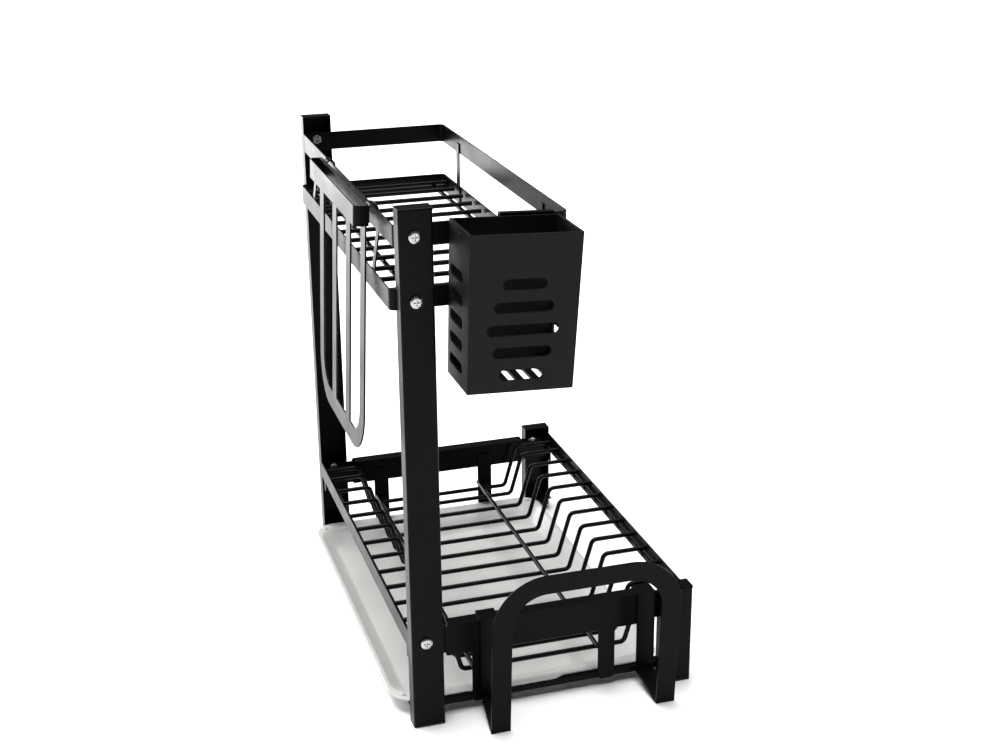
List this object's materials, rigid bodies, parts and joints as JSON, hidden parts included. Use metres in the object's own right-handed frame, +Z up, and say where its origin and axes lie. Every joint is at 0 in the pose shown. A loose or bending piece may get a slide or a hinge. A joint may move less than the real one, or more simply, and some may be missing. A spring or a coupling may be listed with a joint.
{
  "type": "dish drying rack",
  "caption": "Two-level dish drying rack with a wire plate trough, upper shelf, hanging cutlery box, knife holder, board holder and a slide-out drip tray.",
  "frame": {"origin": "on the worktop, in the middle of the box around the whole rack with its holders", "axes": "+X along the rack away from the cutlery box, +Y to the back where the tall posts stand, +Z up"},
  "size_m": [0.4186, 0.255, 0.422],
  "materials": {
    "powder_coat": "satin black powder coat",
    "foot_pad": "matte black",
    "zinc": "bright zinc plate",
    "box_plastic": "fine textured matte black",
    "tray_plastic": "translucent milky white"
  },
  "bodies": {
    "stand": {"post_back_near": "powder_coat", "post_back_far": "powder_coat", "foot_front_near": "powder_coat", "foot_front_far": "powder_coat", "pad_back_near": "foot_pad", "pad_back_far": "foot_pad", "pad_front_near": "foot_pad", "pad_front_far": "foot_pad", "end_rail_near": "powder_coat", "end_rail_far": "powder_coat", "long_band_back": "powder_coat", "long_band_front": "powder_coat", "rack_rod_back": "powder_coat", "rack_rod_front": "powder_coat", "trough_rod_back": "powder_coat", "trough_rod_front": "powder_coat", "rack_wire_01": "powder_coat", "rack_wire_02": "powder_coat", "rack_wire_03": "powder_coat", "rack_wire_04": "powder_coat", "rack_wire_05": "powder_coat", "rack_wire_06": "powder_coat", "rack_wire_07": "powder_coat", "rack_wire_08": "powder_coat", "rack_wire_09": "powder_coat", "rack_wire_10": "powder_coat", "rack_wire_11": "powder_coat", "rack_wire_12": "powder_coat", "rack_wire_13": "powder_coat", "strap_near_back": "powder_coat", "strap_near_front": "powder_coat", "strap_far_back": "powder_coat", "strap_far_front": "powder_coat", "ledge_near": "powder_coat", "ledge_far": "powder_coat", "guard_band": "powder_coat", "shelf_band": "powder_coat", "shelf_link_back": "powder_coat", "shelf_link_front": "powder_coat", "shelf_rod_back": "powder_coat", "shelf_rod_front": "powder_coat", "shelf_wires": "powder_coat", "post_screws": "zinc", "post_nuts": "zinc"},
    "cutlery_holder": {"cutlery_box": "box_plastic", "box_hook": "powder_coat"},
    "knife_holder": {"knife_plate": "powder_coat", "knife_band": "powder_coat", "knife_hook_near": "powder_coat", "knife_hook_far": "powder_coat"},
    "board_holder": {"board_arch": "powder_coat", "board_strap_back": "powder_coat", "board_strap_front": "powder_coat"},
    "tray": {"drip_tray": "tray_plastic"}
  },
  "joints": [
    {"name": "cutlery_holder_lift", "type": "slide", "parent": "stand", "child": "cutlery_holder", "axis": [0, 0, 1], "range_m": [0, 0.06]},
    {"name": "knife_holder_lift", "type": "slide", "parent": "stand", "child": "knife_holder", "axis": [0, 0, 1], "range_m": [0, 0.06]},
    {"name": "board_holder_lift", "type": "slide", "parent": "stand", "child": "board_holder", "axis": [0, 0, 1], "range_m": [0, 0.06]},
    {"name": "tray_slide", "type": "slide", "parent": "stand", "child": "tray", "axis": [0, -1, 0], "range_m": [-0.22, 0.24]}
  ]
}
